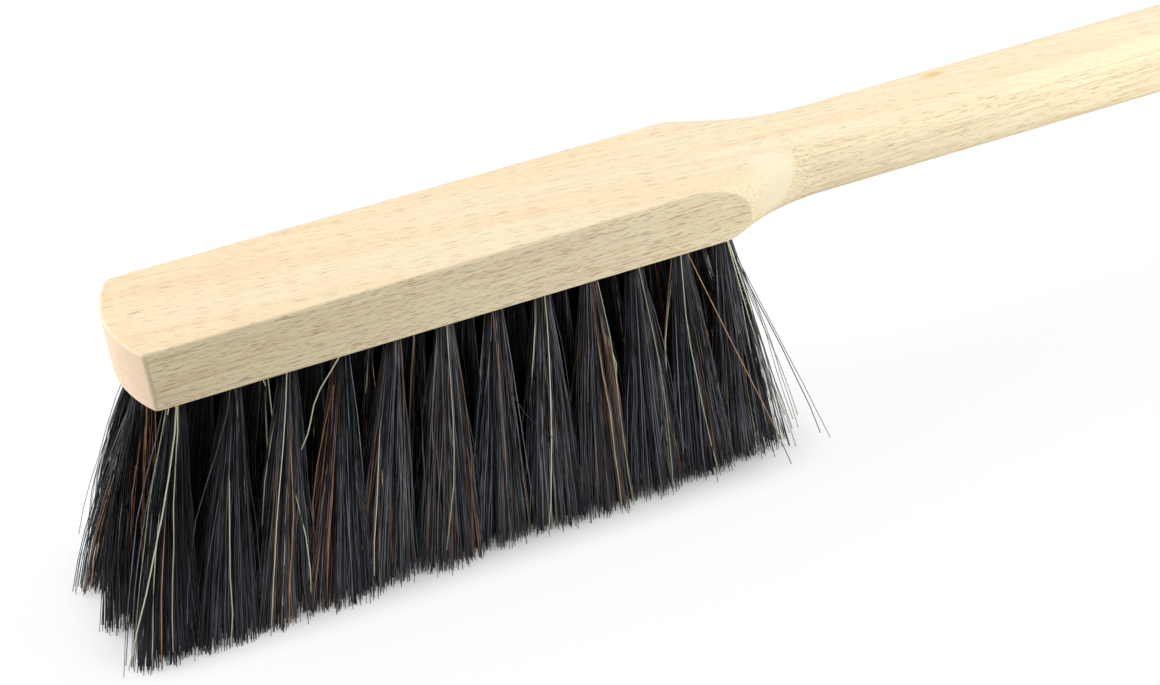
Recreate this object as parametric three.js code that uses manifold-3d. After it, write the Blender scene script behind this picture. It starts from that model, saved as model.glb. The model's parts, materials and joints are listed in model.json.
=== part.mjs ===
import * as THREE from 'three';
import { mergeGeometries, mergeVertices } from 'three/addons/utils/BufferGeometryUtils.js';
import Module from 'manifold-3d';

// A wash brush: a beech head and handle in one piece, with four rows of bristle tufts.
// Each tuft is folded over a flat wire anchor and driven with it into a blind hole.
// Millimetres. +X runs from the toe along the handle, +Y across the head and +Z up.
// The brush stands on its bristle tips at z = 0.

// Beech board
const HEAD_LENGTH = 175; // from the toe's corners to the start of the shoulders
const HEAD_WIDTH = 51.6;
const BOARD_THICKNESS = 18;
const TOE_BULGE = 5.8; // how far the curved toe stands past its corners
const NEAR_TOE_CORNER_RADIUS = 2;
const FAR_TOE_CORNER_RADIUS = 4.5;
const NEAR_TONGUE = 6.4; // how far the flat near side runs past the start of the shoulders, at mid-height
const FAR_TONGUE = 15; // the same on the far side
const SHOULDER_SWEEP_RADIUS = 53;
const HANDLE_LENGTH = 250; // from the start of the shoulders to the end
const HANDLE_WIDTH = 35;
const HANDLE_END_RADIUS = 13;
const HEAD_UPPER_EDGE_RADIUS = 1;
const HEAD_LOWER_EDGE_RADIUS = 0.4;
const HANDLE_LOWER_EDGE_RADIUS = 6;
const HANDLE_SIDE_FLAT = 2; // between the rounding above and below
const MILLING_MARGIN = 12; // how far the milled shape is carried past the plank
const HANG_HOLE_DIAMETER = 8;
const HANG_HOLE_INSET = 18; // from the hole's centre to the handle's end

// Tuft holes
const TUFT_ROWS = 4;
const TUFTS_IN_ROW = 12;
const ROW_TO_SIDE = 9.3; // from the outer rows to the sides of the head
const FIRST_TUFT_TO_TOE = 8.2; // from the toe's corners, in the outer rows
const LAST_TUFT_TO_SHOULDER = 0.2;
const MIDDLE_TUFT_SHIFT = 3.4; // how far the holes halfway along are set towards the heel
const SECOND_ROW_LEAD = 6.2; // how much nearer to the curved toe the second row starts
const THIRD_ROW_LAG = 1.5; // how much further from it the third row starts
const HOLE_DIAMETER = 6.2;
const HOLE_DEPTH = 11;

// Bristles
const BRISTLE_LENGTH = 73; // from the underside of the board to the tips
const STRAND_RADIUS = 0.7;
const STRANDS_ROUND_TUFT = 6; // with one more in the middle
const STRAND_EMBED = 0.6; // depth of a strand's root in its backing
const ROOT_MARGIN = 0.5; // from the outer strands to the hole's edge
const TIP_GAP = 2; // between the strands of neighbouring tufts at the tips
const TOE_LEAN = -27; // travel of a tuft from hole to tip, along X
const MIDDLE_LEAN = -15;
const HEEL_LEAN = 0;
const TOE_SPLAY = 17.4; // travel of an outer tuft from hole to tip, away from the middle
const HEEL_SPLAY = 10.3;
const BOW = 0.3; // how early along its length a strand turns outward
const BEND_HEIGHT = 40; // height of the strands' bend above the tips

// Backing slices and anchors
const BACKING_THICKNESS = 2;
const BACKING_MARGIN = 1.2; // around the holes
const ANCHOR_THICKNESS = 0.4;
const ANCHOR_HEIGHT = 2;
const ANCHOR_BITE = 1; // how far each end sits in the hole's wall
const ANCHOR_TURN = 45; // degrees from the grain
const FOLD_THICKNESS = 1.6; // fibre folded over the anchor
const CLEARANCE = 0.3;

const ARC_STEPS = 4;
const EDGE_STEPS = 4;
const HOLE_SIDES = 8;
const STRAND_SIDES = 3;
const JOIN_TOLERANCE = 1e-4;

const wasm = await Module();
wasm.setup();

const beech = new THREE.MeshStandardMaterial({ color: 0xf3ddb8, roughness: 0.6, metalness: 0 });
const bristle = new THREE.MeshStandardMaterial({ color: 0x262525, roughness: 0.55, metalness: 0 });
const steel = new THREE.MeshStandardMaterial({ color: 0xa9abad, roughness: 0.35, metalness: 1 });

// Solids

function toSolid(geometry) {
  const bare = geometry.clone();
  bare.deleteAttribute('normal');
  bare.deleteAttribute('uv');
  const merged = mergeVertices(bare, JOIN_TOLERANCE);
  return new wasm.Manifold(
    new wasm.Mesh({
      numProp: 3,
      vertProperties: new Float32Array(merged.attributes.position.array),
      triVerts: new Uint32Array(merged.index.array),
    }),
  );
}

function toGeometry(solid) {
  const mesh = solid.getMesh();
  const geometry = new THREE.BufferGeometry();
  geometry.setAttribute('position', new THREE.BufferAttribute(mesh.vertProperties, mesh.numProp));
  geometry.setIndex(new THREE.BufferAttribute(mesh.triVerts, 1));
  geometry.computeVertexNormals();
  return geometry;
}

// Joins rings of equally many points, listed from the lowest up and counter-clockwise from above.
function stackRings(rings) {
  const count = rings[0].length;
  const index = [];
  for (let level = 0; level < rings.length - 1; level += 1) {
    for (let i = 0; i < count; i += 1) {
      const a = level * count + i;
      const b = level * count + ((i + 1) % count);
      index.push(a, b, b + count, a, b + count, a + count);
    }
  }
  const top = (rings.length - 1) * count;
  const lowest = rings[0].map((point) => new THREE.Vector2(point.x, point.y));
  const highest = rings.at(-1).map((point) => new THREE.Vector2(point.x, point.y));
  for (const [a, b, c] of THREE.ShapeUtils.triangulateShape(lowest, [])) {
    index.push(a, c, b);
  }
  for (const [a, b, c] of THREE.ShapeUtils.triangulateShape(highest, [])) {
    index.push(top + a, top + b, top + c);
  }
  const geometry = new THREE.BufferGeometry().setFromPoints(rings.flat());
  geometry.setIndex(index);
  return geometry;
}

function uprightPrism(radius, low, high, sides) {
  const prism = new THREE.CylinderGeometry(radius, radius, high - low, sides, 1, false, Math.PI / sides);
  return prism.rotateX(Math.PI / 2).translate(0, 0, (low + high) / 2);
}

// Board: a plank with slightly rounded edges, milled along its sides into a rounded handle.
// The flat sides of the plank end in a rounded tongue where the two shapes meet.

const side = HEAD_WIDTH / 2;
const grip = HANDLE_WIDTH / 2;
const up = Math.PI / 2;
const handleEnd = HEAD_LENGTH + HANDLE_LENGTH;
const sweepAngle = Math.acos(1 - (side - grip) / SHOULDER_SWEEP_RADIUS);

function plankPath(cornerRadius) {
  const toeRadius = (side ** 2 + TOE_BULGE ** 2) / (2 * TOE_BULGE);
  const toeCentre = toeRadius - TOE_BULGE;
  const cornerY = side - cornerRadius;
  const cornerX = toeCentre - Math.sqrt((toeRadius - cornerRadius) ** 2 - cornerY ** 2);
  const cornerAngle = Math.atan2(cornerY, cornerX - toeCentre);
  const path = new THREE.Path();
  path.absarc(toeCentre, 0, toeRadius, Math.PI, cornerAngle, true);
  path.absarc(cornerX, cornerY, cornerRadius, cornerAngle, up, true);
  path.lineTo(handleEnd + MILLING_MARGIN, side);
  path.lineTo(handleEnd + MILLING_MARGIN, 0);
  return path;
}

function milledPath(tongue) {
  const start = -TOE_BULGE - MILLING_MARGIN;
  const sweepStart = HEAD_LENGTH + tongue;
  const sweepEnd = sweepStart + SHOULDER_SWEEP_RADIUS * Math.sin(sweepAngle);
  const flare = sweepStart - MILLING_MARGIN / Math.tan(sweepAngle);
  const path = new THREE.Path();
  path.moveTo(start, 0);
  path.lineTo(start, side + MILLING_MARGIN);
  path.lineTo(flare, side + MILLING_MARGIN);
  path.absarc(sweepEnd, grip + SHOULDER_SWEEP_RADIUS, SHOULDER_SWEEP_RADIUS, -up - sweepAngle, -up, false);
  path.lineTo(handleEnd - HANDLE_END_RADIUS, grip);
  path.absarc(handleEnd - HANDLE_END_RADIUS, grip - HANDLE_END_RADIUS, HANDLE_END_RADIUS, up, 0, true);
  path.lineTo(handleEnd, 0);
  return path;
}

// The whole outline, counter-clockwise, from the paths of its far and near halves. The near one is mirrored.
function fullOutline(farPath, nearPath) {
  const pointsOf = (path) => {
    const points = path.getPoints(ARC_STEPS);
    return points.filter((point, i) => i === 0 || point.distanceTo(points[i - 1]) > JOIN_TOLERANCE);
  };
  const near = pointsOf(nearPath).slice(1, -1).map((point) => new THREE.Vector2(point.x, -point.y));
  return [...near.reverse(), ...pointsOf(farPath)].reverse();
}

function outwardNormals(outline) {
  return outline.map((point, i) => {
    const before = outline.at(i - 1);
    const after = outline[(i + 1) % outline.length];
    const arriving = point.clone().sub(before).normalize();
    const leaving = after.clone().sub(point).normalize();
    const along = arriving.add(leaving).normalize();
    return new THREE.Vector2(along.y, -along.x);
  });
}

// A board of the full thickness with that outline, its edges rounded by those radii
function roundedBoard(outline, upperRadius, lowerRadius) {
  const normals = outwardNormals(outline);
  const ringAt = (turn, lower) => {
    const radius = lower ? lowerRadius : upperRadius;
    const inset = radius * (1 - Math.cos(turn));
    const drop = radius * (1 - Math.sin(turn));
    const z = lower ? drop : BOARD_THICKNESS - drop;
    return outline.map((point, i) => {
      const ringPoint = point.clone().addScaledVector(normals[i], -inset);
      return new THREE.Vector3(ringPoint.x, ringPoint.y, z);
    });
  };
  const turns = Array.from({ length: EDGE_STEPS + 1 }, (_, i) => ((i / EDGE_STEPS) * Math.PI) / 2);
  const upper = turns.map((turn) => ringAt(turn, false));
  const lower = turns.map((turn) => ringAt(turn, true)).reverse();
  return toSolid(stackRings([...lower, ...upper]));
}

function plainBoard() {
  const upperEdgeRadius = BOARD_THICKNESS - HANDLE_LOWER_EDGE_RADIUS - HANDLE_SIDE_FLAT;
  const plankOutline = fullOutline(plankPath(FAR_TOE_CORNER_RADIUS), plankPath(NEAR_TOE_CORNER_RADIUS));
  const milledOutline = fullOutline(milledPath(FAR_TONGUE), milledPath(NEAR_TONGUE));
  const plank = roundedBoard(plankOutline, HEAD_UPPER_EDGE_RADIUS, HEAD_LOWER_EDGE_RADIUS);
  return plank.intersect(roundedBoard(milledOutline, upperEdgeRadius, HANDLE_LOWER_EDGE_RADIUS));
}

// Tufts: their holes in the underside, and where their tips lie

const outerRowY = side - ROW_TO_SIDE;
const rowPitch = (2 * outerRowY) / (TUFT_ROWS - 1);
const tuftPitch = (HEAD_LENGTH - LAST_TUFT_TO_SHOULDER - FIRST_TUFT_TO_TOE) / (TUFTS_IN_ROW - 1);
const anchorLength = HOLE_DIAMETER + 2 * ANCHOR_BITE;
const anchorLevel = HOLE_DEPTH - 2 * CLEARANCE - FOLD_THICKNESS - ANCHOR_HEIGHT / 2;
const anchorTurn = THREE.MathUtils.degToRad(ANCHOR_TURN);

// The rows in the middle are set between the tufts of their neighbours
function rowStart(row) {
  if (row === 1) {
    return FIRST_TUFT_TO_TOE - SECOND_ROW_LEAD;
  }
  return row === 2 ? FIRST_TUFT_TO_TOE + THIRD_ROW_LAG : FIRST_TUFT_TO_TOE;
}

function rowHoles(row) {
  const y = row * rowPitch - outerRowY;
  const start = rowStart(row);
  return Array.from({ length: TUFTS_IN_ROW }, (_, i) => {
    const share = i / (TUFTS_IN_ROW - 1);
    const shift = MIDDLE_TUFT_SHIFT * 4 * share * (1 - share);
    return new THREE.Vector2(start + i * tuftPitch + shift, y);
  });
}

function leanAt(x) {
  const u = x / HEAD_LENGTH;
  const toe = TOE_LEAN * (1 - u) * (1 - 2 * u);
  const middle = MIDDLE_LEAN * 4 * u * (1 - u);
  const heel = HEEL_LEAN * u * (2 * u - 1);
  return toe + middle + heel;
}

function splayAt(x) {
  return THREE.MathUtils.lerp(TOE_SPLAY, HEEL_SPLAY, x / HEAD_LENGTH);
}

function tipCentre(hole) {
  const outward = hole.y / outerRowY;
  return new THREE.Vector2(hole.x + leanAt(hole.x), hole.y + splayAt(hole.x) * outward);
}

function tipRingRadius(hole) {
  const tipRowPitch = rowPitch * (1 + splayAt(hole.x) / outerRowY);
  return (Math.min(tuftPitch, tipRowPitch) - TIP_GAP) / 2 - STRAND_RADIUS;
}

function strandRing(centre, z) {
  return Array.from({ length: STRAND_SIDES }, (_, i) => {
    const angle = (i / STRAND_SIDES) * 2 * Math.PI;
    const x = centre.x + STRAND_RADIUS * Math.cos(angle);
    const y = centre.y + STRAND_RADIUS * Math.sin(angle);
    return new THREE.Vector3(x, y, z);
  });
}

function strand(root, tip) {
  const bendShare = 1 - BEND_HEIGHT / BRISTLE_LENGTH;
  const bend = root.clone().lerp(tip, bendShare * (1 + BOW * (1 - bendShare)));
  return stackRings([
    strandRing(tip, -BRISTLE_LENGTH),
    strandRing(bend, BEND_HEIGHT - BRISTLE_LENGTH),
    strandRing(root, STRAND_EMBED),
  ]);
}

function tuftStrands(hole) {
  const tip = tipCentre(hole);
  const rootRing = HOLE_DIAMETER / 2 - ROOT_MARGIN - STRAND_RADIUS;
  const tipRing = tipRingRadius(hole);
  const around = Array.from({ length: STRANDS_ROUND_TUFT }, (_, i) => {
    const angle = (i / STRANDS_ROUND_TUFT) * 2 * Math.PI;
    const outward = new THREE.Vector2(Math.cos(angle), Math.sin(angle));
    return strand(hole.clone().addScaledVector(outward, rootRing), tip.clone().addScaledVector(outward, tipRing));
  });
  return [strand(hole, tip), ...around];
}

// The box that an anchor fills, widened on all sides by a gap
function anchorBox(gap) {
  const box = new THREE.BoxGeometry(anchorLength + 2 * gap, ANCHOR_THICKNESS + 2 * gap, ANCHOR_HEIGHT + 2 * gap);
  return box.rotateZ(anchorTurn);
}

// The slice of wood that a row of tufts is fixed to, widened in the same way
function backingBox(holes, gap) {
  const border = HOLE_DIAMETER / 2 + BACKING_MARGIN + gap;
  const length = holes.at(-1).x - holes[0].x + 2 * border;
  const box = new THREE.BoxGeometry(length, 2 * border, BACKING_THICKNESS + 2 * gap);
  return box.translate((holes[0].x + holes.at(-1).x) / 2, holes[0].y, BACKING_THICKNESS / 2);
}

function tuftRow(holes, board) {
  const plugTop = HOLE_DEPTH - CLEARANCE;
  const plug = uprightPrism(HOLE_DIAMETER / 2 - CLEARANCE, BACKING_THICKNESS / 2, plugTop, HOLE_SIDES);
  const plugs = holes.map((hole) => plug.clone().translate(hole.x, hole.y, 0));
  const slots = holes.map((hole) => anchorBox(CLEARANCE).translate(hole.x, hole.y, anchorLevel));
  const strands = holes.flatMap((hole) => tuftStrands(hole));
  return toSolid(backingBox(holes, 0))
    .intersect(board)
    .add(toSolid(mergeGeometries(plugs)))
    .subtract(toSolid(mergeGeometries(slots)))
    .add(toSolid(mergeGeometries(strands)));
}

// Body: the board with its grooves, tuft holes, anchor slots and hang hole

function brushBody(rows, board) {
  let body = board;
  const bore = uprightPrism(HOLE_DIAMETER / 2, BACKING_THICKNESS / 2, HOLE_DEPTH, HOLE_SIDES);
  for (const holes of rows) {
    const bores = holes.map((hole) => bore.clone().translate(hole.x, hole.y, 0));
    const slots = holes.map((hole) => anchorBox(CLEARANCE).translate(hole.x, hole.y, anchorLevel));
    body = body
      .subtract(toSolid(backingBox(holes, CLEARANCE)))
      .subtract(toSolid(mergeGeometries(bores)))
      .subtract(toSolid(mergeGeometries(slots)));
  }
  const hang = uprightPrism(HANG_HOLE_DIAMETER / 2, -1, BOARD_THICKNESS + 1, 6 * ARC_STEPS);
  return body.subtract(toSolid(hang.translate(handleEnd - HANG_HOLE_INSET, 0, 0)));
}

// The brush, with its tips on the floor and its length centred on the origin

function addPiece(group, name, geometry, material) {
  const mesh = new THREE.Mesh(geometry, material);
  mesh.name = name;
  group.add(mesh);
  return mesh;
}

const brush = new THREE.Group();
const pieces = new THREE.Group();
pieces.position.z = BRISTLE_LENGTH;
brush.add(pieces);

const rows = Array.from({ length: TUFT_ROWS }, (_, row) => rowHoles(row));
const plain = plainBoard();
addPiece(pieces, 'brush_body', toGeometry(brushBody(rows, plain)), beech);
rows.forEach((holes, row) => {
  addPiece(pieces, `tuft_row_${row + 1}`, toGeometry(tuftRow(holes, plain)), bristle);
  holes.forEach((hole, i) => {
    const name = `anchor_${row + 1}_${String(i + 1).padStart(2, '0')}`;
    const anchor = addPiece(pieces, name, anchorBox(0), steel);
    anchor.position.set(hole.x, hole.y, anchorLevel);
  });
});

const bounds = new THREE.Box3().setFromObject(brush);
pieces.position.x = -(bounds.min.x + bounds.max.x) / 2;
pieces.position.y = -(bounds.min.y + bounds.max.y) / 2;

export default brush;
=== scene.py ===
# %% [markdown]
# # A wash brush
# The brush is a plank of beech, milled to a handle, with forty-eight tufts of stiff dark fibre set in it.
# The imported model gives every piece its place, so this lesson only has to make the pieces look right.
# Everything is in metres, with the toe of the head towards -X, the handle towards +X and the tips of the
# bristles on the floor, at height 0.

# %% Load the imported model
import json
import math

import bmesh
import bpy
import numpy as np
from mathutils import Matrix, Vector

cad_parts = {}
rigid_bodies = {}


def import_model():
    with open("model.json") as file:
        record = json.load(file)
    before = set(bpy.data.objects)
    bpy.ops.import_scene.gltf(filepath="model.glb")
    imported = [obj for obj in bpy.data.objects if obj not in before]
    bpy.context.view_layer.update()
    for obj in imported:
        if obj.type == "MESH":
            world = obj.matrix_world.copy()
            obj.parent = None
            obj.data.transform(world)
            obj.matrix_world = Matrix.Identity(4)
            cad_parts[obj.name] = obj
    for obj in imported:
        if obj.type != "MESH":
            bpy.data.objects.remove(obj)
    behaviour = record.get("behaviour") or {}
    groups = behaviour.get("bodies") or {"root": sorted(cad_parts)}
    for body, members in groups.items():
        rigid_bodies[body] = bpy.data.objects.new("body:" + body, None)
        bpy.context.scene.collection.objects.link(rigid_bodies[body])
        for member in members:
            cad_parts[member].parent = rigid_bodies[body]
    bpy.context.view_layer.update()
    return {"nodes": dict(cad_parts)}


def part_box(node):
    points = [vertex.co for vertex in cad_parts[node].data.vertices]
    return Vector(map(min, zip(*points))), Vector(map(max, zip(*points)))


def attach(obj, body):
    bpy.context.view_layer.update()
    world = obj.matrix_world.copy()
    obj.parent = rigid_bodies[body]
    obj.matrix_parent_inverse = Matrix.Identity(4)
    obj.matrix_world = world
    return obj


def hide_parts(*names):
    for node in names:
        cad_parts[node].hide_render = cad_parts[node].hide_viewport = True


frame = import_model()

# %% [markdown]
# The wood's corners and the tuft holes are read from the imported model, so the pieces made here cannot
# drift away from it. Each flat wire anchor sits in the middle of its tuft hole, so the middle of an
# anchor's box is the middle of a tuft.

# %% Read the places of the wood and of the tuft holes
MM = 0.001
ROWS = 4
TUFTS_IN_ROW = 12
TOE_BULGE = 5.8 * MM

wood_low, wood_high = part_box("brush_body")
underside = wood_low.z
top = wood_high.z
side = wood_high.y
handle_end = wood_high.x
toe_line = wood_low.x + TOE_BULGE
middle_height = (underside + top) / 2
thickness = top - underside


def tuft_hole(row, place):
    low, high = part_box(f"anchor_{row}_{place:02d}")
    return np.array(((low.x + high.x) / 2, (low.y + high.y) / 2))


tuft_holes = {row: [tuft_hole(row, place + 1) for place in range(TUFTS_IN_ROW)] for row in range(1, ROWS + 1)}
print("wood", round(handle_end - wood_low.x, 4), "m long; first tuft at", tuft_holes[1][0].round(4))

# %% [markdown]
# The camera stands in front of the toe and looks down along the brush. A long lens keeps the handle from
# shrinking too fast, and the camera is rolled a little, as when it is held by hand. Aiming with a track
# quaternion gives a level camera, and one more turn about its own axis gives the roll.

# %% Set the camera
CAMERA_PLACE = Vector((-0.25615, -0.59187, 0.39724))
CAMERA_AIM = Vector((-0.06517, -0.00019, 0.03923))
CAMERA_ROLL = math.radians(-7.855)
LENS_MM = 72.97
SENSOR_MM = 36

camera_data = bpy.data.cameras.new("photo_camera")
camera_data.sensor_fit = "HORIZONTAL"
camera_data.sensor_width = SENSOR_MM
camera_data.lens = LENS_MM
camera = bpy.data.objects.new("photo_camera", camera_data)
bpy.context.scene.collection.objects.link(camera)
aim = (CAMERA_AIM - CAMERA_PLACE).to_track_quat("-Z", "Y").to_matrix()
turned = (aim @ Matrix.Rotation(CAMERA_ROLL, 3, "Z")).to_4x4()
camera.matrix_world = Matrix.Translation(CAMERA_PLACE) @ turned
bpy.context.scene.camera = camera
print("camera", round((CAMERA_AIM - CAMERA_PLACE).length, 3), "m from its aim")

# %% [markdown]
# Shader sums are easier to read as Python than as a tangle of nodes. A Wire is one output of a node.
# Adding, multiplying or comparing wires adds the Math nodes, and one method makes every other kind of
# node.


# %% A wire that does sums
class Wire:
    """One output of a shader node, to be used in sums."""

    def __init__(self, tree, socket=None):
        self.tree = tree
        self.socket = socket

    def node(self, kind, settings=None, sockets=None, output=0):
        """Adds a node, makes its settings, fills its sockets with values or wires, and gives one output."""
        made = self.tree.nodes.new(kind)
        for name, value in (settings or {}).items():
            setattr(made, name, value)
        for name, value in (sockets or {}).items():
            if isinstance(value, Wire):
                self.tree.links.new(value.socket, made.inputs[name])
            else:
                made.inputs[name].default_value = value
        return Wire(self.tree, made.outputs[output] if len(made.outputs) else None)

    def sum_node(self, operation, first, second):
        return self.node("ShaderNodeMath", {"operation": operation}, {0: first, 1: second})

    def __add__(self, other):
        return self.sum_node("ADD", self, other)

    def __radd__(self, other):
        return self.sum_node("ADD", other, self)

    def __sub__(self, other):
        return self.sum_node("SUBTRACT", self, other)

    def __rsub__(self, other):
        return self.sum_node("SUBTRACT", other, self)

    def __mul__(self, other):
        return self.sum_node("MULTIPLY", self, other)

    def __rmul__(self, other):
        return self.sum_node("MULTIPLY", other, self)

    def __gt__(self, other):
        return self.sum_node("GREATER_THAN", self, other)

    def __abs__(self):
        return self.node("ShaderNodeMath", {"operation": "ABSOLUTE"}, {0: self})


def new_material(name):
    material = bpy.data.materials.new(name)
    material.use_nodes = True
    material.node_tree.nodes.clear()
    return material, Wire(material.node_tree)


def srgb(red, green, blue):
    """A colour as a paint program writes it, from 0 to 255, turned into Blender's linear values."""
    shares = [value / 255 for value in (red, green, blue)]
    linear = [s / 12.92 if s <= 0.04045 else ((s + 0.055) / 1.055) ** 2.4 for s in shares]
    return (*linear, 1.0)


print("white as a linear colour:", srgb(255, 255, 255))

# %% [markdown]
# Most patterns need the same few nodes: object coordinates stretched along the grain, a noise, a soft
# step and a mix of two colours. Each gets a short function here.


# %% Small helpers for patterns
def object_place(sheet):
    return sheet.node("ShaderNodeTexCoord", output="Object")


def in_cells(sheet, vector, turn, cell):
    """A vector turned by three angles and counted in cells, whose size is in mm along, across and up."""
    turning = {"Vector": vector, "Rotation": turn}
    turned = sheet.node("ShaderNodeVectorRotate", {"rotation_type": "EULER_XYZ"}, turning)
    scale = tuple(1 / (size * MM) for size in cell)
    return sheet.node("ShaderNodeVectorMath", {"operation": "MULTIPLY"}, {0: turned, 1: scale})


def stretched(sheet, cell, turn=(0, 0, 0)):
    """Object coordinates counted in cells, for patterns that are long one way and short another."""
    return in_cells(sheet, object_place(sheet), turn, cell)


def noise(sheet, vector, detail=2.0, roughness=0.5):
    sockets = {"Vector": vector, "Scale": 1.0, "Detail": detail, "Roughness": roughness}
    return sheet.node("ShaderNodeTexNoise", None, sockets)


def soft_step(sheet, value, start, stop, low=0.0, high=1.0):
    sockets = {"Value": value, "From Min": start, "From Max": stop, "To Min": low, "To Max": high}
    return sheet.node("ShaderNodeMapRange", {"interpolation_type": "SMOOTHSTEP"}, sockets)


def mixed(sheet, share, first, second):
    """Two colours mixed. The node's sockets 6 and 7 and its output 2 are those for colours."""
    return sheet.node("ShaderNodeMix", {"data_type": "RGBA"}, {0: share, 6: first, 7: second}, output=2)


def part_of(sheet, vector, axis):
    return sheet.node("ShaderNodeSeparateXYZ", None, {"Vector": vector}, output=axis)


def finish_material(sheet, sockets):
    shader = sheet.node("ShaderNodeBsdfPrincipled", None, sockets)
    sheet.node("ShaderNodeOutputMaterial", None, {"Surface": shader})


print("pattern helpers ready")

# %% [markdown]
# ## Beech
# Beech is pale and even, and is known by its short dark dashes: the ends of the rays, seen side on. They
# lie along the grain, which on the top runs nine degrees off the handle's line. A field of spots
# stretched along the grain gives the dashes, because a flat cut through stretched three-dimensional spots
# leaves dashes of many lengths on the long faces and small dots on the end grain, as in real wood. Broad
# bands and fine streaks of noise do the rest.

# %% Beech, sanded smooth and left bare
GRAIN_TURN = (0.0, 0.0, math.radians(9))
ALONG = (0.0, 0.0, 0.0)
BAND, TOP_STREAK, SIDE_STREAK = (160, 9, 14), (26, 0.6, 0.6), (22, 0.5, 0.4)
TOP_DASH, SIDE_DASH, SHORT_DASH = (9, 0.42, 0.42), (9, 0.5, 0.44), (4.5, 0.32, 0.32)
LONG_ON_TOP, SHORT_ON_TOP, SHORT_ON_SIDE = 0.9, 0.5, 0.95
DASH_REACH = 0.28
DASH_CORE = 0.6
FAINTEST_DASH = 0.35
FACES_END, FACES_SIDE, FACES_PARTLY_END = (0.75, 0.95), (0.35, 0.75), (0.1, 0.4)


def dashes(sheet, cell, share, turn):
    """Short marks along the grain, some faint and some strong: a mask that is up to 1 inside a mark."""
    field = {"Vector": stretched(sheet, cell, turn), "Scale": 1.0}
    spots = sheet.node("ShaderNodeTexVoronoi", {"feature": "F1"}, field)
    tone = sheet.node("ShaderNodeTexVoronoi", {"feature": "F1"}, field, output="Color")
    near = soft_step(sheet, spots, DASH_REACH * DASH_CORE, DASH_REACH, 1.0, 0.0)
    strength = FAINTEST_DASH + (1 - FAINTEST_DASH) * part_of(sheet, tone, "Y")
    return near * (part_of(sheet, tone, "X") > 1 - share) * strength


def patch(sheet, centre, reach, soft, rise=0.0):
    """A spot round a point, in mm from the toe's line, the middle and the top. It may rise along X."""
    x, y, z = centre
    about = (toe_line + x * MM, y * MM, top + z * MM)
    away = sheet.node("ShaderNodeVectorMath", {"operation": "SUBTRACT"}, {0: object_place(sheet), 1: about})
    away = in_cells(sheet, away, (0.0, rise, 0.0), reach)
    length = sheet.node("ShaderNodeVectorMath", {"operation": "LENGTH"}, {0: away}, output="Value")
    return soft_step(sheet, length, 1 - soft, 1.0, 1.0, 0.0)


beech, sheet = new_material("beech")
place = object_place(sheet)
facing = sheet.node("ShaderNodeTexCoord", output="Normal")
end_grain = soft_step(sheet, abs(part_of(sheet, facing, "X")), *FACES_END)
on_side = soft_step(sheet, abs(part_of(sheet, facing, "Y")), *FACES_SIDE)
from_toe = part_of(sheet, place, "X") - toe_line

bands = noise(sheet, stretched(sheet, BAND, GRAIN_TURN), 2.0, 0.55)
top_streaks = noise(sheet, stretched(sheet, TOP_STREAK, GRAIN_TURN), 3.0, 0.6)
side_streaks = noise(sheet, stretched(sheet, SIDE_STREAK, ALONG), 3.0, 0.65)
streaks = top_streaks * (1 - on_side) + side_streaks * on_side
top_marks = LONG_ON_TOP * dashes(sheet, TOP_DASH, 0.45, GRAIN_TURN)
top_marks = top_marks + SHORT_ON_TOP * dashes(sheet, SHORT_DASH, 1.0, GRAIN_TURN)
top_marks = top_marks * soft_step(sheet, from_toe, 200 * MM, 260 * MM, 1.0, 0.75)
side_marks = dashes(sheet, SIDE_DASH, 0.6, ALONG)
side_marks = side_marks + SHORT_ON_SIDE * dashes(sheet, SHORT_DASH, 1.0, ALONG)
side_marks = side_marks * soft_step(sheet, from_toe, 190 * MM, 240 * MM, 1.15, 0.7)
across_grain = soft_step(sheet, abs(part_of(sheet, facing, "X")), *FACES_PARTLY_END)
marks = (top_marks * (1 - on_side) + side_marks * on_side) * (1 - 0.75 * across_grain)
print("beech marks ready,", len(beech.node_tree.nodes), "nodes so far")

# %% [markdown]
# The colour goes from a pinker cream at the toe to a yellower one at the handle. Where the cutter scooped
# out the shoulders the wood is paler, and the pale patch there is also a painted highlight, for the light
# that falls into the hollows. A pale band runs along the handle's near upper edge, and a small stain sits
# near the far edge. Such small faults of one plank are what makes it look like wood and not like a print of
# it.

# %% Colour of the beech
SCOOP_REACH = (12.5, 13, 8.3)
SCOOP_DROP = -6.3
SCOOP_SOFT = 0.15
SCOOP_RISE = math.radians(32)
PALE_BAND_Y = -11.5 * MM
PALE_BAND_WANDER = 6 * MM
STAIN_PLACE, STAIN_REACH, STAIN_SOFT = (260, 6, 0), (6, 2.6, 4), 0.8
END_RING = (2, 7, 0.9)
SMOOTHEST, STREAK_ROUGHNESS = 0.6, 0.16
BEECH_IOR = 1.45


def scoop(x, y, start, full):
    """The pale patch in the cutter's hollow at one shoulder, partly paler wood and partly a painted
    highlight, in mm from the toe's line and the middle, and where it sets in.
    """
    hollow = patch(sheet, (x, y, SCOOP_DROP), SCOOP_REACH, SCOOP_SOFT, SCOOP_RISE)
    return hollow * soft_step(sheet, from_toe, start * MM, full * MM)


# The scoops' mask: paler wood there, and a painted highlight where the hollows face the light.
scoops = scoop(189.8, -21, 178, 199) + scoop(198.3, 21, 187, 208)
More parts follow.
